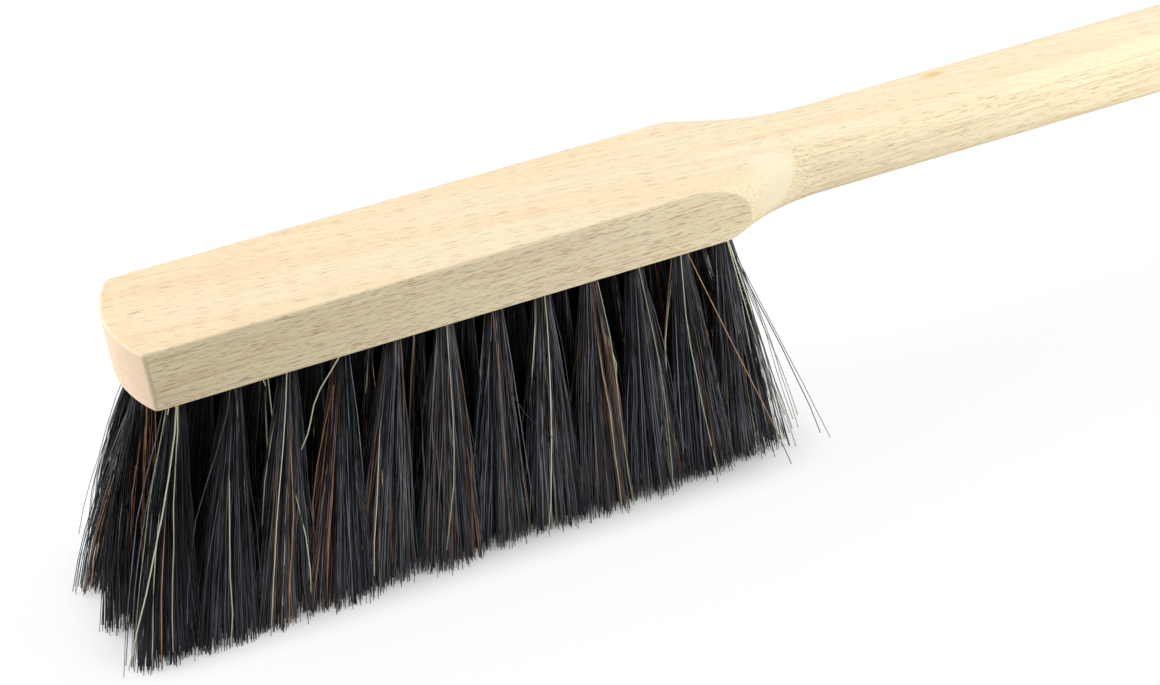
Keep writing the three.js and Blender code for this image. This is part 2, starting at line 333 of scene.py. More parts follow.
# A pale band along the handle's near upper rounding, with a wandering streaky edge, only past the shoulders
# and above the middle.
band_half = soft_step(sheet, from_toe, 235 * MM, 340 * MM, 0.5 * MM, 3.0 * MM)
band_away = abs(part_of(sheet, place, "Y") - PALE_BAND_Y + (top_streaks - 0.5) * PALE_BAND_WANDER)
pale_handle_band = soft_step(sheet, band_half - band_away, -1.0 * MM, 1.2 * MM)
pale_handle_band = pale_handle_band * soft_step(sheet, from_toe, 225 * MM, 260 * MM)
pale_handle_band = pale_handle_band * soft_step(sheet, part_of(sheet, place, "Z"), middle_height, middle_height + 3 * MM)
stain = patch(sheet, STAIN_PLACE, STAIN_REACH, STAIN_SOFT)
rings = noise(sheet, stretched(sheet, END_RING), 2.0, 0.5)

to_handle = soft_step(sheet, from_toe, 0.0, 260 * MM)
pink = mixed(sheet, to_handle, srgb(247, 222, 182), srgb(249, 229, 191))
cream = mixed(sheet, to_handle, srgb(251, 232, 196), srgb(251, 238, 207))
colour = mixed(sheet, soft_step(sheet, bands, 0.35, 0.68), pink, cream)
streaky = soft_step(sheet, streaks, 0.42, 0.7) * (0.4 + 0.45 * on_side) * (1 - 0.7 * scoops)
ringed = end_grain * soft_step(sheet, rings, 0.45, 0.7)
bare_marks = marks * (1 - 0.85 * scoops) * (1 - 0.4 * pale_handle_band)
coats = {
    "yellower sides": (on_side * 0.9, srgb(255, 241, 202)),
    "fine streaks": (streaky, srgb(230, 200, 160)),
    "pinker end grain": (end_grain * 0.75, srgb(240, 212, 186)),
    "rings in the end grain": (ringed * 0.4, srgb(222, 188, 158)),
    # The pale scoops are partly paler wood and partly a painted highlight on the hollows.
    "pale scoops and painted highlight": (scoops * 0.58, srgb(255, 244, 216)),
    "pale_handle_band": (pale_handle_band * 0.35, srgb(254, 244, 206)),
    "stain": (stain * 0.6, srgb(232, 178, 112)),
    "dark dashes": (bare_marks, srgb(160, 112, 68)),
}
for share, tint in coats.values():
    colour = mixed(sheet, share, colour, tint)
height = streaks * 0.5 - marks
bump = sheet.node("ShaderNodeBump", None, {"Strength": 0.12, "Distance": 0.3 * MM, "Height": height})
dull = SMOOTHEST + STREAK_ROUGHNESS * streaks
finish_material(sheet, {"Base Color": colour, "Roughness": dull, "Normal": bump, "IOR": BEECH_IOR})
print("beech:", ", ".join(coats), "in", len(beech.node_tree.nodes), "nodes")

# %% [markdown]
# ## The body
# A brush maker starts from a planed plank with its edges eased, and runs its sides past a cutter that
# leaves the rounded handle. The flat sides of the head end in a round tongue where the cutter leaves the
# wood. The body could be drawn point by point, but doing what the maker does gives that tongue by itself:
# one solid for the plank, one for everything that the cutter leaves standing, and a Boolean that keeps
# what both share.

# %% Helpers for modelling by hand
TINY = 1e-6


def start_clean():
    """Leaves edit mode and deselects everything, because an operator acts on all that is selected."""
    if bpy.context.object and bpy.context.object.mode != "OBJECT":
        bpy.ops.object.mode_set(mode="OBJECT")
    bpy.ops.object.select_all(action="DESELECT")


def choose(kind, test):
    """In edit mode, selects the vertices, edges or faces that pass a test, and nothing else."""
    bpy.ops.mesh.select_mode(type=kind)
    bpy.ops.mesh.select_all(action="DESELECT")
    mesh = bmesh.from_edit_mesh(bpy.context.edit_object.data)
    parts = {"VERT": mesh.verts, "EDGE": mesh.edges, "FACE": mesh.faces}[kind]
    chosen = [part for part in parts if test(part)]
    for part in chosen:
        part.select_set(True)
    mesh.select_flush_mode()
    bmesh.update_edit_mesh(bpy.context.edit_object.data)
    return len(chosen)


def same(a, b, within=TINY):
    return abs(a - b) < within


def all_at(part, axis, value):
    """True where every vertex of an edge or face has that coordinate."""
    return all(same(vertex.co[axis], value) for vertex in part.verts)


def add_block(name, low, high):
    """Adds a cube, shapes it to two corners and stays in edit mode."""
    start_clean()
    bpy.ops.mesh.primitive_cube_add(size=1)
    bpy.context.object.name = name
    bpy.ops.object.mode_set(mode="EDIT")
    bpy.ops.transform.resize(value=tuple(b - a for a, b in zip(low, high)))
    bpy.ops.transform.translate(value=tuple((a + b) / 2 for a, b in zip(low, high)))
    return bpy.context.object


def apply_modifier(piece, name, kind, **settings):
    modifier = piece.modifiers.new(name, kind)
    for key, value in settings.items():
        setattr(modifier, key, value)
    start_clean()
    bpy.context.view_layer.objects.active = piece
    piece.select_set(True)
    bpy.ops.object.modifier_apply(modifier=modifier.name)


print("modelling helpers ready")

# %% [markdown]
# The plank is a block. Its toe is cut into narrow columns, and each is pushed out by the sag of a wide
# arc. Then the two upright corners are rounded, the far one more than the near one, and last the long
# edges, so that their rounding runs round the corners as well. The plank is left longer than the handle:
# the cutter trims it.

# %% Plank
TOE_COLUMNS = 16
NEAR_CORNER_RADIUS = 2 * MM
FAR_CORNER_RADIUS = 4.5 * MM
UPPER_EDGE_RADIUS = 1.0 * MM
LOWER_EDGE_RADIUS = 0.4 * MM
CORNER_STEPS, EDGE_STEPS = 7, 5
SPARE = 12 * MM

plank = add_block("brush_body_wood", (toe_line, -side, underside), (handle_end + SPARE, side, top))
choose("EDGE", lambda edge: all_at(edge, 0, toe_line) and same(edge.verts[0].co.z, edge.verts[1].co.z))
bpy.ops.mesh.subdivide(number_cuts=TOE_COLUMNS - 1)

toe_radius = (side**2 + TOE_BULGE**2) / (2 * TOE_BULGE)
for column in range(1, TOE_COLUMNS):
    y = side * (2 * column / TOE_COLUMNS - 1)
    sag = math.sqrt(toe_radius**2 - y**2) - (toe_radius - TOE_BULGE)
    choose("VERT", lambda vertex: same(vertex.co.x, toe_line) and same(vertex.co.y, y))
    bpy.ops.transform.translate(value=(-sag, 0, 0))

corner_turn = math.pi / 2 - math.asin(side / toe_radius)
for corner_y, radius in ((-side, NEAR_CORNER_RADIUS), (side, FAR_CORNER_RADIUS)):
    choose("EDGE", lambda edge: all_at(edge, 0, toe_line) and all_at(edge, 1, corner_y))
    setback = radius * math.tan(corner_turn / 2)
    bpy.ops.mesh.bevel(offset=setback, segments=CORNER_STEPS, affect="EDGES")
long_edges = 0
for level, radius in ((top, UPPER_EDGE_RADIUS), (underside, LOWER_EDGE_RADIUS)):
    long_edges += choose("EDGE", lambda edge: all_at(edge, 2, level))
    bpy.ops.mesh.bevel(offset=radius, segments=EDGE_STEPS, affect="EDGES", clamp_overlap=False)
start_clean()
print("plank:", long_edges, "edges eased,", len(plank.data.polygons), "faces")

# %% [markdown]
# What the cutter leaves standing is swept from its profile, a round that is wide above and narrow below.
# It starts as half of a circle, whose lower part is shrunk and moved down. From the handle's straight
# side the profile is spun round the handle's end, and from the other end it is spun out along the
# shoulder, away from the wood and past the toe. The two sides are made alike, but the flat of the far
# side runs on further before the cutter meets it.

# %% What the cutter leaves standing
GRIP = 17.5 * MM
LOWER_ROUND = 6 * MM
SIDE_FLAT = 2 * MM
END_RADIUS = 13 * MM
SWEEP_RADIUS = 53 * MM
NEAR_TONGUE_END = toe_line + 181.4 * MM
FAR_TONGUE_END = toe_line + 190 * MM
FLARE = 30 * MM
PROUD = 0.02 * MM
PROFILE_POINTS = 56
END_STEPS, SWEEP_STEPS = 14, 24
UP = (0, 0, 1)

upper_round = thickness - SIDE_FLAT - LOWER_ROUND
sweep_turn = math.acos(1 - (side - GRIP) / SWEEP_RADIUS)
end_start = handle_end - END_RADIUS


def cutter_profile(x):
    """The handle's rounded side at one place along it, as an open line of edges, in edit mode."""
    radius = upper_round + PROUD
    start_clean()
    bpy.ops.mesh.primitive_circle_add(vertices=PROFILE_POINTS, radius=radius)
    bpy.ops.object.mode_set(mode="EDIT")
    bpy.ops.transform.rotate(value=math.pi / 2, orient_axis="Y", center_override=(0, 0, 0))
    choose("VERT", lambda vertex: vertex.co.y < -TINY)
    bpy.ops.mesh.delete(type="VERT")
    choose("VERT", lambda vertex: vertex.co.z < -TINY)
    shrink = (LOWER_ROUND + PROUD) / radius
    bpy.ops.transform.resize(value=(1, shrink, shrink), center_override=(0, radius, 0))
    bpy.ops.transform.translate(value=(0, 0, -SIDE_FLAT))
    bpy.ops.mesh.select_all(action="SELECT")
    bpy.ops.transform.translate(value=(x, GRIP - radius, top - upper_round))
    return bpy.context.object


def milled_side(tongue_end):
    """One side of the milled shape, from the middle of the handle's end to past the toe."""
    sweep_end = tongue_end + SWEEP_RADIUS * math.sin(sweep_turn)
    band = cutter_profile(sweep_end)
    bpy.ops.mesh.extrude_region_move(TRANSFORM_OT_translate={"value": (end_start - sweep_end, 0, 0)})
    end_centre = (end_start, GRIP - END_RADIUS, 0)
    bpy.ops.mesh.spin(steps=END_STEPS, angle=math.pi / 2, center=end_centre, axis=UP)
    bpy.ops.mesh.extrude_region_move(TRANSFORM_OT_translate={"value": (0, END_RADIUS - GRIP, 0)})
    choose("EDGE", lambda edge: all_at(edge, 0, sweep_end))
    sweep_centre = (sweep_end, GRIP + SWEEP_RADIUS, 0)
    bpy.ops.mesh.spin(steps=SWEEP_STEPS, angle=sweep_turn, center=sweep_centre, axis=UP)
    flare = Vector((-math.cos(sweep_turn), math.sin(sweep_turn), 0)) * FLARE
    bpy.ops.mesh.extrude_region_move(TRANSFORM_OT_translate={"value": flare})
    past_toe = wood_low.x - SPARE - (tongue_end + flare.x)
    bpy.ops.mesh.extrude_region_move(TRANSFORM_OT_translate={"value": (past_toe, 0, 0)})
    return band


near_band = milled_side(NEAR_TONGUE_END)
bpy.ops.mesh.select_all(action="SELECT")
bpy.ops.transform.resize(value=(1, -1, 1), center_override=(0, 0, 0))
milled = milled_side(FAR_TONGUE_END)
milled.name = "milled_shape"
start_clean()
near_band.select_set(True)
milled.select_set(True)
bpy.context.view_layer.objects.active = milled
bpy.ops.object.join()
print("milled shape", [round(v, 4) for v in milled.dimensions], "m")

# %% [markdown]
# The two sides are still an open band. They are merged where they meet at the handle's end. An edge
# between the two upper corners past the toe closes the outline of the top, the same below, and the three
# outlines are filled.

# %% Close the milled shape and cut the plank with it
bpy.ops.object.mode_set(mode="EDIT")
bpy.ops.mesh.select_all(action="SELECT")
bpy.ops.mesh.remove_doubles(threshold=TINY)
past_toe_end = min(vertex.co.x for vertex in bmesh.from_edit_mesh(milled.data).verts)


def at_open_end(vertex):
    return vertex.co.x < past_toe_end + 2 * upper_round and len(vertex.link_edges) == 2


for level in (top + PROUD, underside - PROUD):
    choose("VERT", lambda vertex: same(vertex.co.z, level) and at_open_end(vertex))
    bpy.ops.mesh.edge_face_add()
    choose("EDGE", lambda edge: all_at(edge, 2, level))
    bpy.ops.mesh.edge_face_add()
choose("EDGE", lambda edge: len(edge.link_faces) == 1)
bpy.ops.mesh.edge_face_add()
bpy.ops.mesh.select_all(action="SELECT")
bpy.ops.mesh.normals_make_consistent(inside=False)
start_clean()

apply_modifier(plank, "milling", "BOOLEAN", operation="INTERSECT", solver="EXACT", object=milled)
bpy.data.objects.remove(milled)
body_end = max(vertex.co.x for vertex in plank.data.vertices)
print("milled body:", len(plank.data.polygons), "faces, ends at", round(body_end, 4))

# %% [markdown]
# The brush hangs from a hole near the handle's end. A Boolean with a cylinder drills it, and a small
# bevel breaks its rims. The joins of the milled faces are then shaded smooth, and only the tongue's rim
# stays crisp.

# %% Hang hole and shading
HANG_HOLE_RADIUS = 4 * MM
HANG_HOLE_INSET = 18 * MM
HANG_HOLE_POINTS = 48
RIM_BEVEL = 0.8 * MM
RIM_STEPS = 4
NEAR_RIM = 1e-5
SMOOTH_UNDER = math.radians(26)
hang_x = handle_end - HANG_HOLE_INSET

start_clean()
bpy.ops.mesh.primitive_cylinder_add(
    vertices=HANG_HOLE_POINTS,
    radius=HANG_HOLE_RADIUS,
    depth=2 * thickness,
    location=(hang_x, 0, middle_height),
)
drill = bpy.context.object
apply_modifier(plank, "hang_hole", "BOOLEAN", operation="DIFFERENCE", solver="EXACT", object=drill)
bpy.data.objects.remove(drill)

bpy.ops.object.mode_set(mode="EDIT")


def on_hole_rim(edge):
    if not (all_at(edge, 2, top) or all_at(edge, 2, underside)):
        return False
    return all(same(math.hypot(v.co.x - hang_x, v.co.y), HANG_HOLE_RADIUS, NEAR_RIM) for v in edge.verts)


rim_edges = choose("EDGE", on_hole_rim)
bpy.ops.mesh.bevel(offset=RIM_BEVEL, segments=RIM_STEPS, affect="EDGES")
bpy.ops.mesh.select_all(action="SELECT")
bpy.ops.mesh.remove_doubles(threshold=TINY)
start_clean()
bpy.context.view_layer.objects.active = plank
plank.select_set(True)
bpy.ops.object.shade_smooth_by_angle(angle=SMOOTH_UNDER)
apply_modifier(plank, "flat_faces_first", "WEIGHTED_NORMAL", keep_sharp=True, weight=60)
plank.data.materials.clear()
plank.data.materials.append(beech)
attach(plank, "root")
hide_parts("brush_body")
print("body:", len(plank.data.polygons), "faces,", rim_edges, "edges round the hang hole")

# %% [markdown]
# ## Fibres
# A tuft is a bundle of stiff fibres, folded in half in its hole. They leave the hole close together,
# spread out as they go down, and lean with the wear of the brush. Most are black, some are red-brown, and
# a few are pale, thicker and wavier. A particle system could grow them, but here each fibre is one line
# of a curve with a three-sided profile, because that gives full control of the roots and tips and
# converts to a light mesh.

# %% Where the tips of a tuft lie
TOE_LEANS = {1: -25 * MM, 2: -20.5 * MM, 3: -30 * MM, 4: -23 * MM}
MIDDLE_LEAN, HEEL_LEAN = -15 * MM, -2 * MM
TOE_SPLAY, HEEL_SPLAY = 19 * MM, 10.3 * MM
HEAD_LENGTH = 175 * MM
OUTER_ROW = abs(tuft_holes[1][0][1])


def along_head(hole):
    """0 at the toe's corners and 1 where the shoulders start."""
    return (hole[0] - toe_line) / HEAD_LENGTH


def tip_travel(row, hole):
    """How far a tuft's middle travels along and across, from its hole to its tips."""
    u = along_head(hole)
    toe = TOE_LEANS[row] * (1 - u) * (1 - 2 * u)
    lean = toe + MIDDLE_LEAN * 4 * u * (1 - u) + HEEL_LEAN * u * (2 * u - 1)
    splay = TOE_SPLAY + (HEEL_SPLAY - TOE_SPLAY) * u
    return np.array((lean, splay * hole[1] / OUTER_ROW))


print("tips of the first tuft travel", tip_travel(1, tuft_holes[1][0]).round(4), "m")

# %% [markdown]
# Every fibre is worked out from a seeded list of random numbers, so each run gives the same brush. A
# fibre's place in its hole decides where it goes in the fan. Fibres cling together in wisps, so each tip
# is drawn some way towards the middle of its wisp, and a slow wave bends each fibre a little. The tufts
# of the near row leave the wood as narrow necks and fan out evenly. The others spread earlier, so no
# light comes through between them.

# %% Lines of the fibres
FIBRES_IN_TUFT = 370
NEAR_NECK, NECK = 2.0 * MM, 2.9 * MM
NEAR_EARLY, EARLY = 0.1, 0.7
BOW, LEAST_BOW = 0.3, 0.15
TIP_SPREAD = np.array((10.5, 6.5)) * MM
WIDEST = 40.8 * MM
WISPS = 16
CLING = 0.35
POINTS = 8
WAVE_TURNS = (0.4, 1.1)
UNEVEN = 0.12 * MM
TIP_SHORTFALL = 0.5 * MM
ROOT_DEPTH = 2.5 * MM
chance = np.random.default_rng(48)


def in_disc(count):
    angle = chance.uniform(0, 2 * np.pi, count)
    out = np.sqrt(chance.uniform(0, 1, count))
    return np.column_stack((np.cos(angle), np.sin(angle))) * out[:, None]


def bent_lines(root, lean, spread, tip_height, swing, bow, early):
    """Lines from roots in the wood to tips near the floor. Each leans, spreads and waves on its way down."""
    count = len(root)
    phase = chance.uniform(0, 2 * np.pi, (count, 2))
    turns = chance.uniform(*WAVE_TURNS, (count, 1))
    lines = np.zeros((count, POINTS, 3))
    # The wave and the unevenness grow from nothing at the root.
    for step, t in enumerate(np.linspace(0, 1, POINTS)):
        wave = swing * np.sin(2 * np.pi * turns * t + phase) * math.sin(math.pi * min(t, 0.75))
        bent = lean * t * (1 + bow * (1 - t)) + spread * t * (1 + early * (1 - t))
        lines[:, step, :2] = root + bent + wave + chance.normal(0, UNEVEN, (count, 2)) * min(1, 3 * t)
        lines[:, step, 2] = underside + (tip_height - underside) * t
    lines[:, 0, 2] += ROOT_DEPTH
    lines[:, :, 1] = np.clip(lines[:, :, 1], -WIDEST, WIDEST)
    return lines


def neck_of(row, hole):
    """A tuft's radius where it leaves the wood, and how early its lean and its spread set in."""
    if row > 1:
        return NECK, BOW, EARLY
    return NEAR_NECK, BOW * max(LEAST_BOW, 1 - 3 * along_head(hole)), NEAR_EARLY


def fan(row, hole, travel, count, disorder=1.4, wave=0.6, gathered=0.0):
    """The lines of some fibres of one tuft, gathered towards one spot. Disorder and wave are in mm."""
    neck, bow, early = neck_of(row, hole)
    centre = in_disc(1)
    centre[:, 1] = np.copysign(centre[:, 1], hole[1])
    place = in_disc(count) * (1 - gathered) + centre * gathered
    wisps = in_disc(WISPS)
    nearest = np.argmin(np.linalg.norm(place[:, None] - wisps[None], axis=2), axis=1)
    goal = place + (wisps[nearest] - place) * CLING
    spread = goal * TIP_SPREAD - place * neck + chance.normal(0, disorder * MM, (count, 2))
    tip_height = np.abs(chance.normal(0, TIP_SHORTFALL, count))
    swing = chance.normal(0, wave * MM, (count, 2))
    return bent_lines(hole + place * neck, travel, spread, tip_height, swing, bow, early)


print("up to", FIBRES_IN_TUFT, "fibres in a tuft, each a line of", POINTS, "points")

# %% [markdown]
# A curve carries a profile of three corners along each line, and Blender turns the curve into a mesh.
# That leaves the end caps apart from their tubes, so they are merged, and then every fibre is one closed
# shape.

# %% From lines to fibres
TIP_SHARE = 0.8
CAP_GAP = 1e-7


def join_caps():
    """Joins the fibres' end caps, of three corners each, to their tubes and turns all faces outward."""
    bpy.ops.object.mode_set(mode="EDIT")
    choose("FACE", lambda face: len(face.verts) == 3)
    bpy.ops.mesh.faces_shade_flat()
    bpy.ops.mesh.select_all(action="SELECT")
    bpy.ops.mesh.remove_doubles(threshold=CAP_GAP)
    bpy.ops.mesh.normals_make_consistent(inside=False)
    bpy.ops.object.mode_set(mode="OBJECT")


def fibre_piece(name, lines, radii, tints, material):
    """One mesh of many fibres, each a three-sided tube along its line."""
    curve = bpy.data.curves.new(name, "CURVE")
    curve.dimensions = "3D"
    curve.use_fill_caps = True
    curve.bevel_mode = "OBJECT"
    curve.bevel_object = profile
    for line, radius in zip(lines, radii):
        spline = curve.splines.new("POLY")
        spline.points.add(len(line) - 1)
        spline.points.foreach_set("co", np.column_stack((line, np.ones(len(line)))).ravel())
        spline.points.foreach_set("radius", np.linspace(radius, radius * TIP_SHARE, len(line)) / MM)
        spline.use_smooth = True
    start_clean()
    piece = bpy.data.objects.new(name, curve)
    bpy.context.scene.collection.objects.link(piece)
    bpy.context.view_layer.objects.active = piece
    piece.select_set(True)
    bpy.ops.object.convert(target="MESH")
    piece = bpy.context.object
    per_fibre = len(piece.data.vertices) // len(lines)
    tint = piece.data.attributes.new("tint", "FLOAT", "POINT")
    tint.data.foreach_set("value", np.repeat(tints, per_fibre).astype(np.float32))
    join_caps()
    piece.data.materials.clear()
    piece.data.materials.append(material)
    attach(piece, "root")
    print(name, len(lines), "fibres,", len(piece.data.polygons), "faces,", per_fibre, "vertices each")
    return piece


start_clean()
bpy.ops.curve.primitive_bezier_circle_add(radius=MM)
profile = bpy.context.object
profile.name = "fibre_profile"
profile.data.splines.clear()
corners = profile.data.splines.new("POLY")
corners.points.add(2)
for point, turn in zip(corners.points, (90, 210, 330)):
    point.co = (MM * math.cos(math.radians(turn)), MM * math.sin(math.radians(turn)), 0, 1)
corners.use_cyclic_u = True
print("fibre profile with", len(corners.points), "corners")

# %% [markdown]
# Dyed fibre isn't one black. Each fibre has its own tint, kept as an attribute of its vertices, from a
# neutral black to a blue-grey one, and it fades a little towards the worn tip. The light blue-grey end is
# partly
# a painted sheen: the light that black fibres catch, put into their colour. The brown and the pale
# fibres use the same recipe in other colours.

# %% Fibre finishes
MOTTLE = (3, 3, 9)
WORN_HEIGHT = 45 * MM
WORN_FADE = 0.12
ROUGHNESS_RANGE = 0.12
FIBRE_IOR = 1.5


def fibre_finish(name, dark, light, roughness, mottled, shine):
    """A finish between two tints, with its roughness, how mottled it is and how much it shines."""
    material, sheet = new_material(name)
    tint = sheet.node("ShaderNodeAttribute", {"attribute_name": "tint"}, output="Fac")
    mottle = noise(sheet, stretched(sheet, MOTTLE), 2.0, 0.5)
    worn = soft_step(sheet, part_of(sheet, object_place(sheet), "Z"), 0.0, WORN_HEIGHT, WORN_FADE, 0.0)
    share = tint * (1 - mottled + soft_step(sheet, mottle, 0.3, 0.7) * 2 * mottled) + worn
    colour = mixed(sheet, share, dark, light)
    dull = roughness + ROUGHNESS_RANGE * mottle
    finish_material(
        sheet,
        {"Base Color": colour, "Roughness": dull, "IOR": FIBRE_IOR, "Specular IOR Level": shine},
    )
    return material


# The black fibres shine little, and their light blue-grey tint is partly a painted sheen.
black_fibre = fibre_finish("black_fibre", srgb(9, 9, 11), srgb(160, 164, 175), 0.26, 0.3, 0.19)
brown_fibre = fibre_finish("brown_fibre", srgb(82, 53, 41), srgb(222, 166, 126), 0.34, 0.3, 0.5)
pale_fibre = fibre_finish("pale_fibre", srgb(208, 210, 176), srgb(250, 252, 226), 0.38, 0.35, 0.5)
print("three fibre finishes")

# %% [markdown]
# The black fibres of each row are one piece, which stands for that row's solids. Brown and pale fibres run
# through all four rows, many in some tufts and nearly none in others, so their lines are kept for later.

# %% Grow the tufts
TUFT_SWAY = np.array((1.4, 1.8)) * MM
BROWN_TUFTS = {(1, 5): 0.12, (1, 6): 0.22, (1, 9): 0.25}
BROWN_SHARES = (0.02, 0.05, 0.09, 0.15)
PALE_COUNTS = (1, 2, 4, 8)
THIN, THICK = 0.12 * MM, 0.20 * MM
# Painted shade and light along the head: black fibres are painted nearly black near the toe and lighter
# towards the heel.
PAINTED_LIGHT_ALONG, PAINTED_LIGHT_BY = (0, 0.2, 0.5, 0.75, 1), (0.04, 0.1, 1.05, 1.25, 1.0)
TINT_SHAPE = (0.6, 1.8)
# Painted shade: the two inner rows' fibres are painted darker, as they lie in the shadow of the wood and the
# outer rows.
INNER_ROW_PAINTED_SHADE = 0.3
brown_lines, pale_lines = [], []
for row, holes in tuft_holes.items():
    black_lines = []
    for number, hole in enumerate(holes, start=1):
        share = chance.choice(BROWN_SHARES)
        brown = int(FIBRES_IN_TUFT * BROWN_TUFTS.get((row, number), share))
        pale = int(chance.choice(PALE_COUNTS))
        travel = tip_travel(row, hole) + chance.normal(0, 1, 2) * TUFT_SWAY
        black_lines.append(fan(row, hole, travel, FIBRES_IN_TUFT - brown - pale))
        brown_lines.append(fan(row, hole, travel, brown, wave=0.8, gathered=0.45))
        pale_lines.append(fan(row, hole, travel, pale, disorder=2.2, wave=1.2, gathered=0.3))
    lines = np.concatenate(black_lines)
    radii = chance.uniform(THIN, THICK, len(lines))
    # Painted shade near the toe and painted light towards the heel, by where each fibre's root lies.
    painted_shading = np.interp(along_head(lines[:, 0].T), PAINTED_LIGHT_ALONG, PAINTED_LIGHT_BY)
    # The inner rows get a painted shade on top of their tint.
    tints = chance.beta(*TINT_SHAPE, len(lines)) * painted_shading * (1.0 if row in (1, ROWS) else INNER_ROW_PAINTED_SHADE)
    piece = fibre_piece(f"black_fibres_{row}", lines, radii, tints, black_fibre)
    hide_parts(f"tuft_row_{row}")

# %% [markdown]
# A brush that has been handled has loose fibres: some stand off the toe and bow outward, some fan out
# past the heel, and a few lie across their neighbours. Chance places these, tuft by tuft.

# %% Loose fibres
LOOSE_SPREAD = 0.6


def loose(row, hole, count, along, across, height, early, wave=1.0):
    """Fibres of one tuft whose tips miss the rest along and across and end higher, in mm, from and to."""
    neck, bow, _ = neck_of(row, hole)
    place = in_disc(count)
    off = np.column_stack((chance.uniform(*along, count), chance.uniform(*across, count))) * MM
    spread = place * (TIP_SPREAD * LOOSE_SPREAD - neck) + off
    tip_height = chance.uniform(*height, count) * MM
    swing = chance.normal(0, wave * MM, (count, 2))
    return bent_lines(hole + place * neck, tip_travel(row, hole), spread, tip_height, swing, bow, early)


loose_black, loose_brown, loose_pale = [], [], []
for row, holes in tuft_holes.items():
    outward = (-4, 0) if row <= 2 else (0, 4)
    loose_black.append(loose(row, holes[0], 4, (-9, -1), (-3, 3), (0, 6), 0.5))
    loose_brown.append(loose(row, holes[0], 2, (-8, -1), (-3, 3), (0, 5), 0.5))
    loose_pale.append(loose(row, holes[0], 2, (-8, -1), (-3, 3), (0, 5), 0.5))
    loose_black.append(loose(row, holes[-1], 9, (8, 17), (-4, 4), (0, 9), 0.15))
    loose_pale.append(loose(row, holes[-1], 5, (6, 15), (-4, 4), (0, 8), 0.15))
    for hole in holes[1:-1]:
        loose_black.append(loose(row, hole, 3, (-9, 9), outward, (0, 12), 0.4, 1.6))
        loose_brown.append(loose(row, hole, 1, (-12, 12), (-2, 2), (0, 10), 0.3, 1.6))
        loose_pale.append(loose(row, hole, int(chance.integers(0, 2)), (-9, 9), (-2, 2), (0, 8), 0.3, 2.0))

print(sum(map(len, loose_black + loose_brown + loose_pale)), "loose fibres")

# %% [markdown]
# The fibres that stand out most are placed one by one: each has a tip of its own and sways a little on
# its way. Three tufts of the near row also get a bunch of brown fibres in front.

# %% Single fibres and brown bunches
SINGLE_WAVE = 0.8 * MM
BROWN_BUNCHES = ((5, 6, (-4, 3)), (6, 11, (-6, 4)), (9, 14, (-8, 6)))


def single(place, tip, sway=(0.0, -1.5)):
    """One fibre of the near row. Its tip is in mm from the toe's line, the middle and the floor."""
    root = tuft_holes[1][place - 1] - (0, NEAR_NECK)
    x, y, z = tip
    end = np.array((toe_line + x * MM, y * MM))
    swing = chance.normal(0, SINGLE_WAVE, (1, 2))
    line = bent_lines(root[None], end - root, 0.0, np.array((z * MM,)), swing, 0.0, 0.0)
    t = np.linspace(0, 1, POINTS)[:, None]
    line[0, :, :2] += np.array(sway) * MM * 4 * t * (1 - t)
    return line


loose_pale += [single(1, (-26.3, -40.3, 3.6), (1, -1.5)), single(1, (-13.3, -40.3, 5.3), (-1, -1.5))]
loose_pale += [single(10, (142.5, -38, 1.1), (1.5, -1.5)), single(11, (157.5, -36, 1.9), (-1.5, -1.5))]
loose_pale += [single(6, (70, -38.5, 8), (1.5, -1.5)), single(8, (102, -38, 2), (1, -1.5))]
loose_pale += [single(12, (186.5, -33, 0.5)), single(12, (183, -31, 3)), single(4, (35.6, -28, 49.3), (0, 0))]
loose_brown += [single(11, (180, -40.6, 0.3), (1, -1))]
loose_black += [single(12, (197.3, -33.6, 0.3)), single(12, (195, -32, 2))]
loose_black += [single(7, (111.5, -33, 27.4), (-8, -4))]
for place, count, along in BROWN_BUNCHES:
    loose_brown.append(loose(1, tuft_holes[1][place - 1], count, along, (-6, -2), (0, 8), 0.2, 1.2))
print(sum(map(len, loose_black + loose_brown + loose_pale)), "loose fibres with the single ones")

# %% [markdown]
# The brown and the pale fibres of the tufts and the loose ones of their colour are a piece each, and the
# loose black ones are a third. Near the toe the fibres are painted darker, a painted shade.

# %% Brown, pale and loose black fibres
TOE_PAINTED_SHADE = (0, 0.3)
for name, grown, strays, thin, thick, at_toe, finish in (
    ("brown_fibres", brown_lines, loose_brown, 0.13, 0.21, 0.1, brown_fibre),
    ("pale_fibres", pale_lines, loose_pale, 0.18, 0.3, 0.8, pale_fibre),
    ("loose_black_fibres", [], loose_black, 0.13, 0.2, 0.3, black_fibre),
):
    lines = np.concatenate(grown + strays)
    radii = chance.uniform(thin, thick, len(lines)) * MM
    # Painted shade near the toe, as on the black rows.
    painted_shading = np.interp(along_head(lines[:, 0].T), TOE_PAINTED_SHADE, (at_toe, 1))
    fibre_piece(name, lines, radii, chance.uniform(0, 1, len(lines)) * painted_shading, finish)

# %% [markdown]
# Where the saw left the lower edge of the head, three splinters still hang from it. They are drawn as
# short fibres are, in the finish of the wood.

